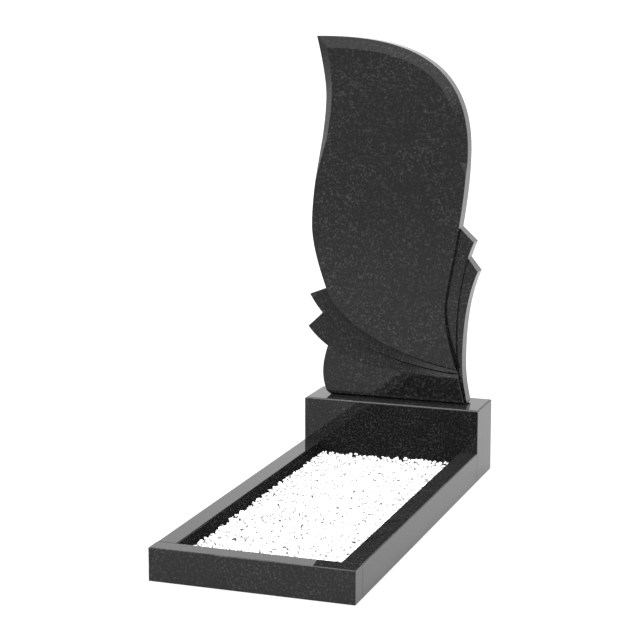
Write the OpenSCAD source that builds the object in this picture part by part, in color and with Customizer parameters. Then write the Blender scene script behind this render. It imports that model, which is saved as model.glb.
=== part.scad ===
// Headstone for a family grave: a polished stele cut as a tall leaf held by four
// ribbons, a pedestal, and a kerb of three bars round a bed of loose marble chips.
// +X right, +Z up, the bed runs out towards -Y.
// Origin: the middle of the pedestal's underside, on the ground.

/* [Stele] */
// Height of the slab that the stele is cut from
stele_h = 1000; // [700:10:1400]
// Width of the slab that the stele is cut from
stele_w = 500; // [400:10:600]
// Thickness of the slab
stele_t = 50; // [40:1:80]
// Narrow bevel along the stele's front foot
foot_bevel = 6; // [2:0.5:8]

/* [Carving] */
// Widest part of the bevel round the leaf's upper edge
leaf_bevel_w = 32; // [16:1:40]
// Depth of that bevel at its widest
leaf_bevel_d = 10; // [4:0.5:12]
// Depth of each ribbon's inner edge below the leaf's face
ribbon_deep = 10; // [7:0.5:12]
// Depth of each ribbon's outer edge, and of the plain field below the ribbons
ribbon_shallow = 5; // [2:0.5:6]
// Width, near the root, of the crease along each left ribbon's inner edge
crease_w = 5; // [2:0.5:6]
// Depth of the right-hand stem's inner edge at the foot
stem_deep = 14; // [12.5:0.5:16]

/* [Pedestal] */
// Width of the pedestal, and of the kerb
pedestal_w = 500; // [500:10:700]
// Depth of the pedestal, front to back
pedestal_d = 150; // [120:5:250]
// Height of the pedestal
pedestal_h = 200; // [120:5:300]
// Bevel along the pedestal's top edges
pedestal_bevel = 3.5; // [1:0.5:8]

/* [Kerb] */
// Length of each side bar, from the pedestal to the front bar
side_len = 1000; // [600:10:1500]
// Height of the bars
bar_h = 80; // [60:1:120]
// Thickness of the bars
bar_t = 50; // [40:1:80]
// Bevel along the bars' long top edges
bar_bevel = 2; // [0.5:0.5:5]

/* [Marble chips] */
// How far the chips lie below the top of the kerb
chips_drop = 28; // [10:1:50]

/* [Hidden] */

granite = [0.16, 0.16, 0.17];
marble = [0.95, 0.95, 0.94];

front_y = -stele_t / 2;                  // plane of the leaf's face
kerb_y = -pedestal_d / 2;                // where the side bars meet the pedestal
bed_end_y = kerb_y - side_len;           // where the side bars meet the front bar
side_x = pedestal_w / 2;                 // outer faces of the pedestal and the kerb
past = 12;                               // how far a cutter passes the ends of what it cuts
over = 2;                                // how far a cutter's floor runs past its outer line
lead = 3.5;                              // how far back a cutter starts, in pieces of its line
lean = 0.08;                             // how far aside it starts, as a share of its width
crease_least = 0.4;                      // width of a crease where it starts
hair = 0.5;                              // how far one carving's end runs into a deeper one
tip_deep = (3 * ribbon_deep + stem_deep) / 4;    // depth of the leaf's line at the root
root_deep = (ribbon_deep + stem_deep) / 2;       // depth of the stem's line at the root
steps = 20;                              // pieces in one curved stretch
right_steps = 25;                        // pieces in the lower right ribbon, notch to waist
left_steps = 34;                         // pieces in the lower left ribbon

// The stele is drawn on a grid 500 wide and 1000 high: x from the middle of the
// pedestal, h from the stele's foot.
grid_w = 500;
grid_h = 1000;

leaf_tip = [-235, 1000];                 // the pointed upper left corner
leaf_waist = [-208, 838];                // the left edge's innermost point
leaf_belly = [-247, 482];                // the left edge's outermost point
leaf_shoulder = [195, 702];              // the right edge's outermost point
leaf_neck = [138, 262];                  // where the right-hand carving turns back out
left_fold = [-205, 304];                 // where the upper left ribbon leaves the leaf
left_tips = [[-254, 285], [-259, 193]];  // tips of the left ribbons, upper first
right_tips = [[217, 452], [229, 372]];   // tips of the right ribbons, upper first
root = [177, 85];                        // where the ribbons run together
right_waist = [189, 115];                // the right edge's innermost point
feet = [[-199, 0], [204, 0]];            // ends of the stele's foot
stem_foot = [196, 0];                    // the stem's inner edge at the foot

// From the drawing's grid to millimetres
function drawn(list) = [for (p = list) [p.x * stele_w / grid_w, p.y * stele_h / grid_h]];

// A point a share t of the way along a cubic
function cubic(c, t) =
    pow(1 - t, 3) * c[0] + 3 * t * pow(1 - t, 2) * c[1]
    + 3 * t * t * (1 - t) * c[2] + pow(t, 3) * c[3];

// Points of a cubic between two shares of it, first and last included
function curve(c, from = 0, to = 1, n = steps) =
    [for (i = [0:n]) cubic(c, from + (to - from) * i / n)];

function unit(v) = v / norm(v);
function reversed(list) = [for (i = [len(list) - 1:-1:0]) list[i]];

// Lists of points joined end to end, where each starts at the last one's end
function joined(lists) = [for (i = [0:len(lists) - 1])
    for (k = [i == 0 ? 0 : 1:len(lists[i]) - 1]) lists[i][k]];

// n + 1 values that run evenly from a to b
function ramp(a, b, n) = [for (i = [0:n]) a + (b - a) * i / n];

// Each curve is a cubic: its two ends, and the two handles that pull it
tip_to_waist = drawn([leaf_tip, [-220, 940], [-208, 880], leaf_waist]);
waist_to_belly = drawn([leaf_waist, [-208, 740], [-247, 600], leaf_belly]);
belly_to_fold = drawn([leaf_belly, [-247, 425], [-224, 356], left_fold]);
tip_to_shoulder = drawn([leaf_tip, [-20, 1003], [192, 965], leaf_shoulder]);
shoulder_to_neck = drawn([leaf_shoulder, [195, 520], [138, 330], leaf_neck]);
neck_to_root = drawn([leaf_neck, [138, 205], [160, 140], root]);
root_to_foot = drawn([root, [182, 55], [190, 25], stem_foot]);
upper_right = concat(drawn([right_tips[0], [185, 380], [157, 250]]),
                     [neck_to_root[3] - [hair, 0]]);
lower_right = drawn([right_tips[1], [197, 300], [188, 205], right_waist]);
right_flare = drawn([right_waist, [189, 70], [197, 35], feet[1]]);

// Shares of a curve at which another one meets it
right_fold_at = 0.395;                   // the upper right ribbon leaves the leaf
right_notch_at = 0.18;                   // the lower right ribbon leaves the upper one
right_neck_at = 0.6;                     // the upper right ribbon passes the neck
right_waist_at = 0.93;                   // and the right edge's waist
root_flare_at = 0.25;                    // the flare passes the root
left_notch_at = 0.15;                    // the lower left ribbon leaves the upper one
field_at = 7 / 34;                       // the field leaves the lower left ribbon
leaf_end_at = 0.92;                      // the leaf's lower edge meets the right one
field_end_at = 0.13;                     // the lower left ribbon meets the stem

leaf_lower = concat(drawn([left_fold, [-168, 200], [10, 122]]),
                    [cubic(neck_to_root, leaf_end_at) + [hair, 0]]);
upper_left = drawn([left_tips[0], [-185, 160], [-30, 105], root]);
lower_left = concat(drawn([left_tips[1], [-180, 90], [-30, 75]]),
                    [cubic(root_to_foot, field_end_at) + [hair, 0]]);
left_bulge = concat([cubic(lower_left, field_at)], drawn([[-213, 105], [-227, 50], feet[0]]));

left_bevel_to = 0.68;                    // the leaf's left bevel has faded away
right_bevel_to = 0.125;                  // and its right one
left_bevel_w = 0.8 * leaf_bevel_w;       // width of the left bevel at the leaf's tip

// The whole outline, clockwise from the leaf's tip and back to it
outline = joined([
    curve(tip_to_shoulder, n = 2 * steps),
    curve(shoulder_to_neck, 0, right_fold_at),
    [cubic(shoulder_to_neck, right_fold_at), upper_right[0]],
    curve(upper_right, 0, right_notch_at, 6),
    [cubic(upper_right, right_notch_at), lower_right[0]],
    curve(lower_right, n = right_steps),
    curve(right_flare),
    [right_flare[3], left_bulge[3]],
    reversed(curve(left_bulge)),
    reversed(curve(lower_left, 0, field_at, 7)),
    [lower_left[0], cubic(upper_left, left_notch_at)],
    reversed(curve(upper_left, 0, left_notch_at, 6)),
    [upper_left[0], belly_to_fold[3]],
    reversed(curve(belly_to_fold)),
    reversed(curve(waist_to_belly)),
    reversed(curve(tip_to_waist))
]);

// A line carried on backwards from its start by lead times its first piece, and aside
function led_in(line, aside = [0, 0]) = concat(
    [line[1] + (line[0] - line[1]) * lead + aside], [for (i = [1:len(line) - 1]) line[i]]);

// A cutter whose floor runs from an inner line to an outer one, and on past it by over
// at the same slope. Each line has its own list of depths below the leaf's face, and
// stops pushes the cutter's end on. The floor is drawn to the middles of the outer
// line's pieces, so that its edges keep clear of the corners of the outline. With a list
// of widths, creases, the floor also falls away steeply along the inner line.
module ledge(inner, outer, inner_d, outer_d, stops, creases = []) {
    steep = 1.2;                         // how much a crease falls over its width
    last = len(inner) - 1;
    a = concat(led_in(inner, (outer[0] - inner[0]) * lean), [inner[last] + stops]);
    ends = concat(led_in(outer), [outer[last] + stops, outer[last] + stops]);
    b = [for (i = [0:last + 1]) (ends[i] + ends[i + 1]) / 2];
    a_d = concat(inner_d, [inner_d[last]]);
    b_d = concat(outer_d, [outer_d[last]]);
    c_w = concat(creases, [creases[last]]);
    points = [for (i = [0:last + 1])
        let (on = over / norm(b[i] - a[i]), far = b[i] + (b[i] - a[i]) * on,
             fall = creases == [] ? 0 : steep * c_w[i],
             share = creases == [] ? 0 : c_w[i] / norm(b[i] - a[i]),
             knee = a[i] + (b[i] - a[i]) * share)
        each concat(
            [[a[i].x, front_y - past, a[i].y], [a[i].x, front_y + a_d[i] + fall, a[i].y]],
            creases == [] ? []
                : [[knee.x, front_y + a_d[i] + (b_d[i] - a_d[i]) * share, knee.y]],
            [[far.x, front_y + b_d[i] + (b_d[i] - a_d[i]) * on, far.y],
             [far.x, front_y - past, far.y]])];
    ring = creases == [] ? 4 : 5;        // points round the cutter at each station
    end = ring * (last + 1);             // where the last ring starts
    tube = [for (p = [0:ring:end - ring], k = [0:ring - 1])
        let (q = (k + 1) % ring)
        each [[p + k, p + q, p + q + ring], [p + k, p + q + ring, p + k + ring]]];
    caps = [for (k = [2:ring - 1])
        let (p = (k + 1) % ring, q = (k + 2) % ring)
        each [[2, q, p], [end + 2, end + p, end + q]]];
    // a cutter that lies on the other side of its line has its faces turned over
    turned = cross(b[1] - a[1], a[2] - a[1]) < 0;
    polyhedron(points, [for (f = concat(tube, caps)) turned ? reversed(f) : f], convexity = 10);
}

// The upper right ribbon, from its fold down to a point just past the root
module upper_right_ribbon() {
    tip_at = 0.94;                       // share of the last stretch at which the ribbon ends
    push = 1.15;                         // how far its point goes on towards the root
    neck_on = right_neck_at + tip_at * (1 - right_neck_at);
    ledge(joined([curve(shoulder_to_neck, right_fold_at, 1), curve(neck_to_root, 0, tip_at)]),
          joined([curve(upper_right, 0, right_neck_at), curve(upper_right, right_neck_at, neck_on)]),
          concat(ramp(ribbon_deep, ribbon_deep, steps - 1), ramp(ribbon_deep, tip_deep, steps)),
          ramp(ribbon_shallow, ribbon_shallow, 2 * steps),
          push * (neck_to_root[3] - cubic(neck_to_root, tip_at)));
}

// The lower right ribbon, which runs on as a narrow stem to the foot
module lower_right_ribbon() {
    half = steps / 4;                    // pieces from the waist to the root
    full = steps / 2;                    // pieces from the root to the foot
    ledge(joined([curve(upper_right, right_notch_at, right_waist_at, right_steps),
                  curve(upper_right, right_waist_at, 1, half), curve(root_to_foot, n = full)]),
          joined([curve(lower_right, n = right_steps), curve(right_flare, 0, root_flare_at, half),
                  curve(right_flare, root_flare_at, 1, full)]),
          concat(ramp(ribbon_deep, ribbon_deep, right_steps - 1),
                 ramp(ribbon_deep, root_deep, half),
                 [for (i = [1:full]) root_deep + (stem_deep - root_deep) * i / full]),
          concat(ramp(ribbon_shallow, ribbon_shallow, right_steps - 1),
                 ramp(ribbon_shallow, ribbon_deep, half + full)), [0, -past]);
}

// The left ribbons end a hair past the right-hand carving, which is deeper there. The
// crease along each one's inner line widens evenly towards the root.
module left_ribbon(inner, outer, n) {
    creases = [for (s = ramp(0, 1, n))
        s < 1 ? crease_least + (crease_w - crease_least) * s : crease_least];
    ledge(inner, outer, ramp(ribbon_deep, ribbon_deep, n),
          ramp(ribbon_shallow, ribbon_shallow, n), [hair, 0], creases);
}

module left_ribbons() {
    n = 2 * steps;
    left_ribbon(curve(leaf_lower, n = n), curve(upper_left, n = n), n);
    left_ribbon(curve(upper_left, left_notch_at, 1, left_steps), curve(lower_left, n = left_steps),
                left_steps);
}

// The plain field below the left ribbons. Its cutter reaches up into the lower ribbon,
// whose floor rises to the field's depth at the ribbon's outer edge.
module field() {
    reach = [0, 3];
    corner = [lower_left[0].x - past, lower_left[0].y];
    translate([0, front_y + ribbon_shallow, 0]) rotate([90, 0, 0])
        linear_extrude(ribbon_shallow + past) polygon(concat(
            [for (p = curve(lower_left, n = 2 * steps)) p + reach],
            [for (p = curve(root_to_foot, field_end_at, 1)) p + [hair, 0]],
            [root_to_foot[3] + [hair, -past], [corner.x, -past], corner]));
}

// The bevel along one side of the leaf's top. first starts at the tip; second carries
// the bevel on as far as its share run_out, where it fades away. side is 1 where the
// leaf lies to the left of the curves, and -1 where it lies to the right.
module leaf_bevel(first, second, run_out, side, tip_w, end_w) {
    n = 2 * steps;
    fade_from = 0.75;                    // share of the whole bevel at which the fade begins
    least = 0.04;                        // what is left of the width at the end
    function spot(i) = i < n ? cubic(first, i / n) : cubic(second, run_out * (i - n) / n);
    outer = [for (i = [0:2 * n]) spot(i)];
    fade = [for (s = ramp(0, 1, 2 * n))
        s < fade_from ? 1 : least + (1 - least) * (1 - s) / (1 - fade_from)];
    inner = [for (i = [0:2 * n])
        let (d = unit(outer[min(i + 1, 2 * n)] - outer[max(i - 1, 0)]))
        outer[i] + side * [-d.y, d.x] * (tip_w + (end_w - tip_w) * i / (2 * n)) * fade[i]];
    ledge(inner, outer, ramp(0, 0, 2 * n), leaf_bevel_d * fade,
          unit(outer[2 * n] - outer[2 * n - 1]));
}

// Takes a bevel c wide off an edge that runs along X, on the side that faces -Y
module wedge(c, len) {
    translate([-len / 2, 0, 0]) rotate([90, 0, 90]) linear_extrude(len)
        polygon([[-past, -past], [c + past, -past], [-past, c + past]]);
}

// The narrow bevel round the stele's foot, on the field in front and on the other sides
module foot_bevels() {
    translate([0, front_y + ribbon_shallow, 0]) wedge(foot_bevel, 2 * stele_w);
    translate([0, -front_y, 0]) mirror([0, 1, 0]) wedge(foot_bevel, 2 * stele_w);
    translate([right_flare[3].x, 0, 0]) rotate([0, 0, 90]) wedge(foot_bevel, 2 * stele_t);
    translate([left_bulge[3].x, 0, 0]) rotate([0, 0, -90]) wedge(foot_bevel, 2 * stele_t);
}

module stele() color(granite) translate([0, 0, pedestal_h]) difference() {
    translate([0, stele_t / 2, 0]) rotate([90, 0, 0])
        linear_extrude(stele_t) polygon(outline);
    upper_right_ribbon();
    lower_right_ribbon();
    left_ribbons();
    field();
    foot_bevels();
    leaf_bevel(tip_to_waist, waist_to_belly, left_bevel_to, 1, left_bevel_w, left_bevel_w / 2);
    leaf_bevel(tip_to_shoulder, shoulder_to_neck, right_bevel_to, -1,
               leaf_bevel_w, leaf_bevel_w / 2);
}

// A block standing on the ground, with a bevel c wide round its top
module bevelled_block(w, d, h, c) {
    function side(s) = [[-s / 2, 0], [-s / 2, h - c], [c - s / 2, h], [s / 2 - c, h],
                        [s / 2, h - c], [s / 2, 0]];
    intersection() {
        translate([0, d / 2, 0]) rotate([90, 0, 0]) linear_extrude(d) polygon(side(w));
        translate([-w / 2, 0, 0]) rotate([90, 0, 90]) linear_extrude(w) polygon(side(d));
    }
}

module pedestal() color(granite) bevelled_block(pedestal_w, pedestal_d, pedestal_h, pedestal_bevel);

// A bar along Y whose two long top edges are bevelled
module bar(len) {
    translate([0, len / 2, 0]) rotate([90, 0, 0]) linear_extrude(len) polygon([
        [-bar_t / 2, 0], [-bar_t / 2, bar_h - bar_bevel], [bar_bevel - bar_t / 2, bar_h],
        [bar_t / 2 - bar_bevel, bar_h], [bar_t / 2, bar_h - bar_bevel], [bar_t / 2, 0]]);
}

module kerb_front() color(granite)
    translate([0, bed_end_y - bar_t / 2, 0]) rotate([0, 0, 90]) bar(pedestal_w);

module side_bar(side) color(granite)
    translate([side * (side_x - bar_t / 2), (kerb_y + bed_end_y) / 2, 0]) bar(side_len);

module kerb_left() side_bar(-1);
module kerb_right() side_bar(1);

// The chips fill the kerb from the ground up, touching the bars and the pedestal
module marble_chips() color(marble)
    translate([bar_t - side_x, bed_end_y, 0])
        cube([pedestal_w - 2 * bar_t, side_len, bar_h - chips_drop]);

stele();
pedestal();
kerb_front();
kerb_left();
kerb_right();
marble_chips();
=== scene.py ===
# %% [markdown]
# # A leaf-shaped headstone in polished black granite
# The stone stands on a granite pedestal, and three granite bars and the pedestal
# enclose a bed of white marble chips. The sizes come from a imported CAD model, and this
# lesson turns that model into something that looks cut, polished and filled.

# %% Load the frame
import math
import random

import bmesh
import bpy
from mathutils import Matrix, Vector, noise


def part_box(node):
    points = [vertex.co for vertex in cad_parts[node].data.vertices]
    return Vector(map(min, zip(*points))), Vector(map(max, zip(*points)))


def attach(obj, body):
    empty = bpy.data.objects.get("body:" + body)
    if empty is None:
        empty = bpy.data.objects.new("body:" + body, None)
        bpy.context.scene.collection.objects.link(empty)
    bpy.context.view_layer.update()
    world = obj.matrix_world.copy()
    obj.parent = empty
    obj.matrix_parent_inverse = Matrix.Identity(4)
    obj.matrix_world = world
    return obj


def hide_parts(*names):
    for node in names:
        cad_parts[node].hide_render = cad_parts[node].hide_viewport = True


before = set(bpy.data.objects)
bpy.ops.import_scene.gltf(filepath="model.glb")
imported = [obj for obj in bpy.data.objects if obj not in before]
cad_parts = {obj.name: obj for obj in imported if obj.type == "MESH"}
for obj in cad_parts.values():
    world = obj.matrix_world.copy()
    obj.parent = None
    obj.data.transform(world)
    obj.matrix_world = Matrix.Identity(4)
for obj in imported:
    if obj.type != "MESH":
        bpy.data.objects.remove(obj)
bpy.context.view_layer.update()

# %% [markdown]
# ## A helper that hands a finished mesh to the scene
# Every piece is built in a bmesh, which is Blender's editable mesh in memory. Once its
# shape is done it becomes an object, takes its material, and is tied to the body it
# moves with. A gravestone doesn't move, so its one body is called root. The CAD node
# that the piece stands for is hidden.

# %% Hand over a piece
def hand_over(name, bm, material, replaced):
    mesh = bpy.data.meshes.new(name)
    bm.to_mesh(mesh)
    bm.free()
    piece = bpy.data.objects.new(name, mesh)
    bpy.context.scene.collection.objects.link(piece)
    mesh.materials.append(material)
    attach(piece, "root")
    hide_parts(replaced)
    mesh.calc_loop_triangles()
    print(name, len(mesh.loop_triangles), "triangles")
    return piece

# %% [markdown]
# ## Small tools for wiring up materials
# A material is a graph of nodes. These helpers add a node, set its values and join it
# to others, so that each material below reads as a short recipe.

# %% Add a node, join two nodes, start a material
def add_node(tree, kind, **settings):
    node = tree.nodes.new(kind)
    for key, value in settings.items():
        setattr(node, key, value)
    return node


def wire(tree, source, target):
    tree.links.new(source, target)


def new_material(name):
    """A material, its node tree and its shader."""
    material = bpy.data.materials.new(name)
    material.use_nodes = True
    return material, material.node_tree, material.node_tree.nodes["Principled BSDF"]


def object_place(tree):
    return add_node(tree, "ShaderNodeTexCoord").outputs["Object"]


# %% Shape a value, multiply, draw noise, mix colours
def stretch(tree, source, low, high, to_low=0.0, to_high=1.0):
    """Maps low..high of a value to to_low..to_high, softly and within those limits."""
    node = add_node(tree, "ShaderNodeMapRange", interpolation_type="SMOOTHSTEP")
    wire(tree, source, node.inputs["Value"])
    for socket, value in (("From Min", low), ("From Max", high),
                          ("To Min", to_low), ("To Max", to_high)):
        node.inputs[socket].default_value = value
    return node.outputs["Result"]


def times(tree, first, second):
    node = add_node(tree, "ShaderNodeMath", operation="MULTIPLY")
    wire(tree, first, node.inputs[0])
    if isinstance(second, float):
        node.inputs[1].default_value = second
    else:
        wire(tree, second, node.inputs[1])
    return node.outputs[0]


def cloud(tree, where, scale, detail=2.0, rough=0.5):
    node = add_node(tree, "ShaderNodeTexNoise")
    wire(tree, where, node.inputs["Vector"])
    node.inputs["Scale"].default_value = scale
    node.inputs["Detail"].default_value = detail
    node.inputs["Roughness"].default_value = rough
    return node.outputs["Fac"]


def mixed(tree, share, first, second):
    """A colour that goes from first to second; each is a plain colour or a socket."""
    node = add_node(tree, "ShaderNodeMix", data_type="RGBA")
    wire(tree, share, node.inputs["Factor"])
    for socket, colour in ((node.inputs[6], first), (node.inputs[7], second)):
        if isinstance(colour, tuple):
            socket.default_value = colour
        else:
            wire(tree, colour, socket)
    return node.outputs[2]

# %% [markdown]
# ## The grain of black granite
# Black granite is a mass of dark crystals with paler grey ones a few millimetres
# across, gathered in loose drifts. Under the polish they show as soft specks. The
# pattern is a node group, so that it can go into any dark stone at its own scale: it
# gives out a mask of the pale crystals, and a second, finer mask of mica glints.

# %% Granite grain group
CRYSTAL_SCALE = 175.0                   # noise cells to a metre, as are the next two
DRIFT_SCALE = 14.0
GLINT_SCALE = 260.0
LEAST_DRIFT = 0.45                      # share of the crystals left between the drifts
GLINT_RIM, GLINT_HEART = 0.22, 0.05     # distances from the middle of a glint's cell


def granite_grain():
    group = bpy.data.node_groups.new("granite_grain", "ShaderNodeTree")
    sockets = group.interface
    scale = sockets.new_socket(name="Crystal scale", in_out="INPUT",
                               socket_type="NodeSocketFloat")
    scale.default_value = CRYSTAL_SCALE
    for name in ("Crystals", "Glints"):
        sockets.new_socket(name=name, in_out="OUTPUT", socket_type="NodeSocketFloat")
    start = add_node(group, "NodeGroupInput")
    end = add_node(group, "NodeGroupOutput")
    where = object_place(group)

    crystals = add_node(group, "ShaderNodeTexNoise")
    wire(group, where, crystals.inputs["Vector"])
    wire(group, start.outputs["Crystal scale"], crystals.inputs["Scale"])
    crystals.inputs["Detail"].default_value = 3.0
    crystals.inputs["Roughness"].default_value = 0.62
    pale = stretch(group, crystals.outputs["Fac"], 0.48, 0.76)
    drifts = stretch(group, cloud(group, where, DRIFT_SCALE), 0.30, 0.68, LEAST_DRIFT, 1.0)
    wire(group, times(group, pale, drifts), end.inputs["Crystals"])

    cells = add_node(group, "ShaderNodeTexVoronoi", feature="F1")
    wire(group, where, cells.inputs["Vector"])
    cells.inputs["Scale"].default_value = GLINT_SCALE
    glints = stretch(group, cells.outputs["Distance"], GLINT_RIM, GLINT_HEART)
    wire(group, times(group, glints, drifts), end.inputs["Glints"])
    print("granite grain group:", len(group.nodes), "nodes")
    return group


grain = granite_grain()

# %% [markdown]
# ## Polished black granite
# Polished stone is a dark body under a hard, mirror-like skin. The Principled shader
# does both at once: a nearly black base colour for the crystals, and a sharp gloss
# over it. Granite reflects only two or three parts in a hundred face on, and much more
# at a glancing angle, so the specular level is low and the shader's own Fresnel does
# the rest. The pale crystals take a slightly duller polish than the dark ones.

# %% Granite material
BLACK_CRYSTAL = (0.0066, 0.0066, 0.0066, 1.0)
GREY_CRYSTAL = (0.046, 0.046, 0.046, 1.0)
GLINT = (0.17, 0.17, 0.17, 1.0)
GLINT_SHARE = 0.12
POLISH_DARK, POLISH_PALE = 0.012, 0.035     # roughness
GRANITE_GLOSS = 0.25                        # 0.5 would be the gloss of glass


def polished_granite():
    material, tree, shader = new_material("black_granite")
    pattern = add_node(tree, "ShaderNodeGroup", node_tree=grain)
    pattern.inputs["Crystal scale"].default_value = CRYSTAL_SCALE
    crystals, glints = pattern.outputs["Crystals"], pattern.outputs["Glints"]
    body = mixed(tree, crystals, BLACK_CRYSTAL, GREY_CRYSTAL)
    wire(tree, mixed(tree, times(tree, glints, GLINT_SHARE), body, GLINT),
         shader.inputs["Base Color"])
    wire(tree, stretch(tree, crystals, 0.0, 1.0, POLISH_DARK, POLISH_PALE),
         shader.inputs["Roughness"])
    shader.inputs["Specular IOR Level"].default_value = GRANITE_GLOSS
    return material


granite = polished_granite()
print("granite material ready")

# %% [markdown]
# ## The carved stele
# The leaf, its bevelled edge and the sunken ribbons are cut into one slab. That shape
# is already in the CAD node, so the piece starts as a copy of it. The copy's loose
# triangles are merged and the flat ones joined.

# %% Copy the stele and join its faces
MERGE = 2e-5
FLAT = math.radians(0.4)

slab = bmesh.new()
slab.from_mesh(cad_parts["stele"].data)
bmesh.ops.remove_doubles(slab, verts=slab.verts, dist=MERGE)
bmesh.ops.dissolve_limit(slab, angle_limit=FLAT, verts=slab.verts, edges=slab.edges)
print("stele:", len(slab.faces), "faces after joining")

# %% [markdown]
# ## Broken arrises on the stele
# The mason takes the edge off every long arris by hand, less than a millimetre, so
# that the polish catches a thread of light there. Along the narrow stem he runs a
# wider bevel. Both are bmesh bevels on edges chosen by where they lie and how sharply
# their faces meet.

# %% Choose edges
ON_PLANE = 5 * MERGE
SQUARE_LEAST, SQUARE_MOST = math.radians(60), math.radians(120)


def square_arrises(bm, y):
    """The edges at depth y whose two faces meet outwards at about a right angle."""
    return [e for e in bm.edges if len(e.link_faces) == 2
            and all(abs(v.co.y - y) < ON_PLANE for v in e.verts)
            and SQUARE_LEAST < e.calc_face_angle_signed(0.0) < SQUARE_MOST]


# %% Bevel the stem, then break the outline's arrises
FIELD_DEPTH = 0.005         # how far the plain field lies behind the leaf's face
STEM_RIGHT_OF = 0.15        # the stem's edge on the field lies past this X
STEM_BELOW = 0.29           # and below this Z
STEM_BEVEL = 0.0025
STELE_ARRIS = 0.0007
stele_low, stele_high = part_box("stele")

stem = [e for e in square_arrises(slab, stele_low.y + FIELD_DEPTH)
        if min(v.co.x for v in e.verts) > STEM_RIGHT_OF
        and max(v.co.z for v in e.verts) < STEM_BELOW]
bmesh.ops.bevel(slab, geom=stem, offset=STEM_BEVEL, offset_type="OFFSET", affect="EDGES",
                segments=1, profile=0.5, material=-1, clamp_overlap=False)
print("stem edges", len(stem))
for y in (stele_low.y, stele_high.y):
    arrises = square_arrises(slab, y)
    bmesh.ops.bevel(slab, geom=arrises, offset=STELE_ARRIS, offset_type="OFFSET",
                    affect="EDGES", segments=2, profile=0.5, material=-1,
                    clamp_overlap=False)
    print("arrises at", round(y, 3), len(arrises))

# %% [markdown]
# ## Crisp carving, smooth curves
# The outline's curves are made of short flat pieces. Shading them smooth hides that, but
# a carved line has to stay crisp. So each edge is marked sharp where its faces turn by
# more than a limit, and the limit is finer on the carved front than elsewhere.

# %% Mark the sharp edges and shade the rest smooth
ARRIS_ANGLE = math.radians(14)
CARVED_ANGLE = math.radians(3.0)
FRONT = -0.8                # a face whose normal's Y is below this looks to the front

for face in slab.faces:
    face.smooth = True
for edge in slab.edges:
    carved = (len(edge.link_faces) == 2
              and all(face.normal.y < FRONT for face in edge.link_faces))
    edge.smooth = edge.calc_face_angle(0.0) < (CARVED_ANGLE if carved else ARRIS_ANGLE)
print("stele:", sum(not e.smooth for e in slab.edges), "sharp edges")
hand_over("carved_stele", slab, granite, "stele")

# %% [markdown]
# ## Sawn and polished blocks
# The pedestal and the bars are sawn blocks. A mason runs a bevel along the edges that
# people see, and breaks every other edge with a fine arris so that it doesn't chip. A
# cube is scaled to the block, and bmesh's bevel takes off the edges: first the wide
# ones along the top, then a hair from all that are still sharp.

# %% A block with a bevelled top
ARRIS = 0.0008
STILL_SHARP = math.radians(30)


def sawn_block(name, bevel, bevelled_side):
    node = name.removeprefix("stone_")
    low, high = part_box(node)
    bm = bmesh.new()
    bmesh.ops.create_cube(bm, size=1.0)
    bmesh.ops.scale(bm, vec=high - low, verts=bm.verts)
    bmesh.ops.translate(bm, vec=(low + high) / 2, verts=bm.verts)
    top = [e for e in bm.edges if all(abs(v.co.z - high.z) < MERGE for v in e.verts)
           and bevelled_side(e.verts[1].co - e.verts[0].co)]
    bmesh.ops.bevel(bm, geom=top, offset=bevel, offset_type="WIDTH", affect="EDGES",
                    segments=1, profile=0.5, material=-1)
    sharp = [e for e in bm.edges if e.calc_face_angle(0.0) > STILL_SHARP]
    bmesh.ops.bevel(bm, geom=sharp, offset=ARRIS, offset_type="OFFSET", affect="EDGES",
                    segments=2, profile=0.5, material=-1)
    return hand_over(name, bm, granite, node)


# %% Make the pedestal and the bars
BEVEL_PEDESTAL = 0.0035 * math.sqrt(2)      # both measured across the bevel's face
BEVEL_BAR = 0.002 * math.sqrt(2)


def all_round(run):
    return True


def along_x(run):
    return abs(run.x) > abs(run.y)


def along_y(run):
    return abs(run.y) > abs(run.x)


sawn_block("stone_pedestal", BEVEL_PEDESTAL, all_round)
front_bar = sawn_block("stone_kerb_front", BEVEL_BAR, along_x)
front_bar.visible_glossy = False    # keeps a dark stripe off the polished faces behind it
sawn_block("stone_kerb_left", BEVEL_BAR, along_y)
sawn_block("stone_kerb_right", BEVEL_BAR, along_y)

# %% [markdown]
# ## The bed under the chips
# Loose chips let the eye fall between them, into the deep shade of the heap. The bed is
# a lumpy block whose near-black colour is painted shade, standing for that shade. A fine
# grid is pushed up and down by noise, and its rim is extruded down to the ground to close
# it.

# %% Painted shade material for the bed
# painted shade: near-black colours, mixed in random patches, that stand for the shade
# between the chips
DEEP_PAINTED_SHADE = (0.012, 0.012, 0.012, 1.0)
LIGHTER_PAINTED_SHADE = (0.05, 0.049, 0.047, 1.0)


def painted_shade_under_chips():
    material, tree, shader = new_material("painted_shade_under_chips")
    grains = stretch(tree, cloud(tree, object_place(tree), 160.0, 3.0), 0.35, 0.7)
    wire(tree, mixed(tree, grains, DEEP_PAINTED_SHADE, LIGHTER_PAINTED_SHADE), shader.inputs["Base Color"])
    shader.inputs["Roughness"].default_value = 0.9
    shader.inputs["Specular IOR Level"].default_value = 0.1
    return material


# %% Build the bed
bed_low, bed_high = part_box("marble_chips")
bed_size = bed_high - bed_low
middle_x, middle_y = (bed_low.x + bed_high.x) / 2, (bed_low.y + bed_high.y) / 2
SHADE_BED_TOP = bed_high.z - 0.019
GRID = 0.007
LUMP_HEIGHT = 0.004
LUMP_SCALE = 90.0

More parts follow.
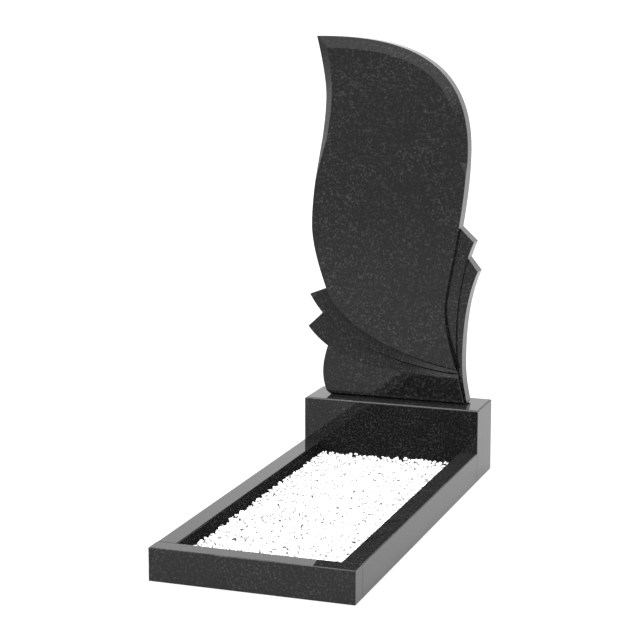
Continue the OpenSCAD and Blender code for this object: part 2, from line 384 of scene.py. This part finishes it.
bed = bmesh.new()
bmesh.ops.create_grid(bed, x_segments=round(bed_size.x / GRID),
                      y_segments=round(bed_size.y / GRID), size=0.5)
bmesh.ops.scale(bed, vec=(bed_size.x, bed_size.y, 1.0), verts=bed.verts)
bmesh.ops.translate(bed, vec=(middle_x, middle_y, SHADE_BED_TOP), verts=bed.verts)
for v in bed.verts:
    v.co.z += LUMP_HEIGHT * noise.noise(v.co * LUMP_SCALE)
rim = [e for e in bed.edges if e.is_boundary]
walls = bmesh.ops.extrude_edge_only(bed, edges=rim)["geom"]
for v in walls:
    if isinstance(v, bmesh.types.BMVert):
        v.co.z = bed_low.z
bmesh.ops.holes_fill(bed, edges=[e for e in bed.edges if e.is_boundary])
bmesh.ops.recalc_face_normals(bed, faces=bed.faces)
# the bed's near-black colour is painted shade under the chips
hand_over("painted_shade_bed", bed, painted_shade_under_chips(), "marble_chips")

# %% [markdown]
# ## White marble chips
# Crushed marble breaks into blunt, many-sided lumps one to two centimetres across. A
# dozen lumps are made as convex hulls of a few random points, and each is then copied
# hundreds of times, turned at random, in jittered rows. Copying one small shape keeps
# the mesh light, and a fixed seed lays the same bed every time.

# %% Marble material
GREY_MARBLE = (0.80, 0.80, 0.79, 1.0)
WHITE_MARBLE = (0.90, 0.90, 0.90, 1.0)
PIT_DEPTH = 0.0006


def white_marble():
    material, tree, shader = new_material("white_marble")
    where = object_place(tree)
    tones = stretch(tree, cloud(tree, where, 45.0, 3.0), 0.35, 0.65)
    wire(tree, mixed(tree, tones, GREY_MARBLE, WHITE_MARBLE), shader.inputs["Base Color"])
    wire(tree, stretch(tree, cloud(tree, where, 300.0), 0.3, 0.7, 0.5, 0.75),
         shader.inputs["Roughness"])
    pits = add_node(tree, "ShaderNodeBump")
    pits.inputs["Strength"].default_value = 0.35
    pits.inputs["Distance"].default_value = PIT_DEPTH
    wire(tree, cloud(tree, where, 700.0, 3.0), pits.inputs["Height"])
    wire(tree, pits.outputs["Normal"], shader.inputs["Normal"])
    return material


marble = white_marble()

# %% Break a dozen chips
CHIP_SHAPES = 12
CHIP_POINTS = 11
shuffle = random.Random(7)


def any_direction():
    return Vector([shuffle.gauss(0, 1) for _ in range(3)])


def broken_chip():
    chip = bmesh.new()
    for _ in range(CHIP_POINTS):
        p = any_direction().normalized()
        chip.verts.new(p * shuffle.uniform(0.8, 1.0))
    hull = bmesh.ops.convex_hull(chip, input=chip.verts)
    bmesh.ops.delete(chip, geom=list(set(hull["geom_unused"] + hull["geom_interior"])),
                     context="VERTS")
    bmesh.ops.recalc_face_normals(chip, faces=chip.faces)
    mesh = bpy.data.meshes.new("chip_pattern")
    chip.to_mesh(mesh)
    chip.free()
    return mesh


patterns = [broken_chip() for _ in range(CHIP_SHAPES)]
print("chips have", sorted({len(m.polygons) for m in patterns}), "faces")

# %% [markdown]
# ## Three layers of chips
# The chips lie in three layers. The lowest is laid close, so that little of the bed of
# painted shade shows, and the two above it leave places out at random, which gives the
# heap its deep gaps. A chip at the kerb is moved inwards until it clears the bars.

# %% Lay one layer in rows
CHIP_SMALL, CHIP_LARGE = 0.0045, 0.0085     # half of a chip's length
CHIP_WIDTH = (0.65, 1.0)                    # least and most, as shares of its length
CHIP_HEIGHT = (0.5, 0.85)
UNEVEN = 0.003                              # how far a chip may lie off its layer


def lay_chips(bm, height, y_from, y_to, spacing, missing):
    columns = int(bed_size.x / spacing)
    rows = int((y_to - y_from) / spacing)
    for row in range(rows):
        for column in range(columns):
            if shuffle.random() < missing:
                continue
            r = shuffle.uniform(CHIP_SMALL, CHIP_LARGE)
            spot = Vector((bed_low.x + (column + shuffle.uniform(0.0, 1.0)) * spacing,
                           y_from + (row + shuffle.uniform(0.0, 1.0)) * spacing,
                           height + shuffle.uniform(-UNEVEN, UNEVEN)))
            spot.x = min(max(spot.x, bed_low.x + r), bed_high.x - r)
            spot.y = min(max(spot.y, bed_low.y + r), bed_high.y - r)
            turn = Matrix.Rotation(shuffle.uniform(0, math.tau), 4, any_direction())
            shape = Matrix.Diagonal((r, r * shuffle.uniform(*CHIP_WIDTH),
                                     r * shuffle.uniform(*CHIP_HEIGHT), 1.0))
            lump = shuffle.choice(patterns).copy()
            lump.transform(Matrix.Translation(spot) @ turn @ shape)
            bm.from_mesh(lump)
            bpy.data.meshes.remove(lump)


# %% Fill the near half and the far half
TOP_LAYER = bed_high.z - 0.006
LAYERS = (      # depth below the top layer, distance between rows, share left out
    (0.013, 0.0092, 0.0),
    (0.006, 0.0113, 0.18),
    (0.0, 0.0113, 0.12),
)

for name, y_from, y_to in (("chips_near", bed_low.y, middle_y),
                           ("chips_far", middle_y, bed_high.y)):
    chips = bmesh.new()
    for depth, spacing, missing in LAYERS:
        lay_chips(chips, TOP_LAYER - depth, y_from, y_to, spacing, missing)
    heap = hand_over(name, chips, marble, "marble_chips")
    heap.visible_glossy = False     # keeps the white bed out of the pedestal's polish
for mesh in patterns:
    bpy.data.meshes.remove(mesh)

# %% [markdown]
# ## Floor
# The stone stands in a plain, pale studio. The floor is one wide disc, a little
# self-lit so that it stays an even white around the stone. Towards the front it dims as
# the sky does, so that its rim doesn't show against the sky from any side.

# %% Lay the floor
FLOOR_RADIUS = 7.0
FLOOR_MIDDLE_Y = -0.5
BELOW_STONE = 0.0005        # keeps the floor clear of the undersides

ground = bmesh.new()
bmesh.ops.create_circle(ground, cap_ends=True, segments=96, radius=FLOOR_RADIUS)
bmesh.ops.translate(ground, vec=(0, FLOOR_MIDDLE_Y, -BELOW_STONE), verts=ground.verts)
floor_mesh = bpy.data.meshes.new("studio_floor")
ground.to_mesh(floor_mesh)
ground.free()
floor = bpy.data.objects.new("studio_floor", floor_mesh)
bpy.context.scene.collection.objects.link(floor)
print("floor", 2 * FLOOR_RADIUS, "m across")

# %% Floor material
DIM_BEFORE, PALE_AFTER = -0.8, -0.2     # Y of a direction: dim in front, pale behind
DIM_GLOW, PALE_GLOW = 0.11, 0.54

pale_floor, floor_tree, paint = new_material("pale_floor")
paint.inputs["Base Color"].default_value = (0.26, 0.26, 0.26, 1.0)
paint.inputs["Roughness"].default_value = 0.9
paint.inputs["Specular IOR Level"].default_value = 0.0
place = add_node(floor_tree, "ShaderNodeSeparateXYZ")
wire(floor_tree, object_place(floor_tree), place.inputs["Vector"])
fade = stretch(floor_tree, place.outputs["Y"], FLOOR_MIDDLE_Y + DIM_BEFORE * FLOOR_RADIUS,
               FLOOR_MIDDLE_Y + PALE_AFTER * FLOOR_RADIUS, DIM_GLOW, PALE_GLOW)
glow = add_node(floor_tree, "ShaderNodeCombineColor")
for channel in ("Red", "Green", "Blue"):
    wire(floor_tree, fade, glow.inputs[channel])
wire(floor_tree, glow.outputs["Color"], paint.inputs["Emission Color"])
paint.inputs["Emission Strength"].default_value = 1.0
floor_mesh.materials.append(pale_floor)

# %% [markdown]
# ## Light
# Polished black stone shows its surroundings more than itself, so the sky is drawn as
# a studio: dim along the horizon, bright where soft boxes would hang in front, an even
# pale wall behind, and a bright panel far to the left, which the leaf's left bevel
# catches. It depends only on the direction, so it lights every view.

# %% Brightness by height
SKY_STRENGTH = 4.0          # levels are divided by this, so that the ramps stay below 1

world = bpy.data.worlds.new("studio")
bpy.context.scene.world = world
world.use_nodes = True
sky = world.node_tree
axes = add_node(sky, "ShaderNodeSeparateXYZ")
wire(sky, add_node(sky, "ShaderNodeTexCoord").outputs["Generated"], axes.inputs["Vector"])


def brightness(name, stops):
    """A ramp of brightness over the height of the direction, from -1 to 1."""
    height = add_node(sky, "ShaderNodeMapRange")
    wire(sky, axes.outputs["Z"], height.inputs["Value"])
    height.inputs["From Min"].default_value = -1.0
    ramp = add_node(sky, "ShaderNodeValToRGB", name=name)
    wire(sky, height.outputs["Result"], ramp.inputs["Fac"])
    points = ramp.color_ramp.elements
    while len(points) < len(stops):
        points.new(0.5)
    for point, (z, level) in zip(points, stops):
        grey = level / SKY_STRENGTH
        point.position = (z + 1) / 2
        point.color = (grey, grey, grey, 1)
    return ramp.outputs["Color"]


front = brightness("front", [(-1, 0.9), (0.0, 0.89), (0.12, 0.70), (0.36, 2.3),
                             (0.85, 2.4), (1.0, 2.0)])
back = brightness("back", [(-1, 1.3), (0.0, 1.3), (0.25, 1.35), (0.6, 1.5), (1.0, 2.0)])

# %% Join front and back, and hang the bright panel
PANEL_FULL, PANEL_RIM = -0.97, -0.88        # X of a direction
PANEL_BRIGHTNESS = 2.6                      # times that of the sky around it

to_back = stretch(sky, axes.outputs["Y"], DIM_BEFORE, PALE_AFTER)
panel = add_node(sky, "ShaderNodeVectorMath", operation="SCALE")
wire(sky, mixed(sky, to_back, front, back), panel.inputs[0])
wire(sky, stretch(sky, axes.outputs["X"], PANEL_FULL, PANEL_RIM, PANEL_BRIGHTNESS, 1.0),
     panel.inputs["Scale"])
backdrop = sky.nodes["Background"]
wire(sky, panel.outputs["Vector"], backdrop.inputs["Color"])
backdrop.inputs["Strength"].default_value = SKY_STRENGTH
print("sky drawn with", len(sky.nodes), "nodes")

# %% [markdown]
# ## A soft lamp overhead
# White chips and black stone need light from above to keep the chips bright and their
# gaps dark. A sun lamp with a very wide disc does what a large overhead soft box does,
# and lights every part of the floor alike.

# %% Hang the lamp
lamp = bpy.data.lights.new("overhead", "SUN")
lamp.energy = 4.2
lamp.angle = math.radians(60)
overhead = bpy.data.objects.new("overhead", lamp)
overhead.rotation_euler = (math.radians(14), math.radians(8), 0.0)
bpy.context.scene.collection.objects.link(overhead)

# %% [markdown]
# ## Camera
# A long lens a few metres away, a little above the top of the stone and to its right,
# keeps the upright lines upright and shows the bed in full.

# %% Place the camera
lens = bpy.data.cameras.new("camera")
lens.lens = 103.0
lens.sensor_width = 36.0
camera = bpy.data.objects.new("camera", lens)
camera.location = (1.4611, -4.7775, 1.3802)
camera.rotation_euler = (math.radians(79.133), 0.0, math.radians(19.509))
bpy.context.scene.collection.objects.link(camera)
bpy.context.scene.camera = camera
bpy.context.scene.view_settings.view_transform = "Standard"
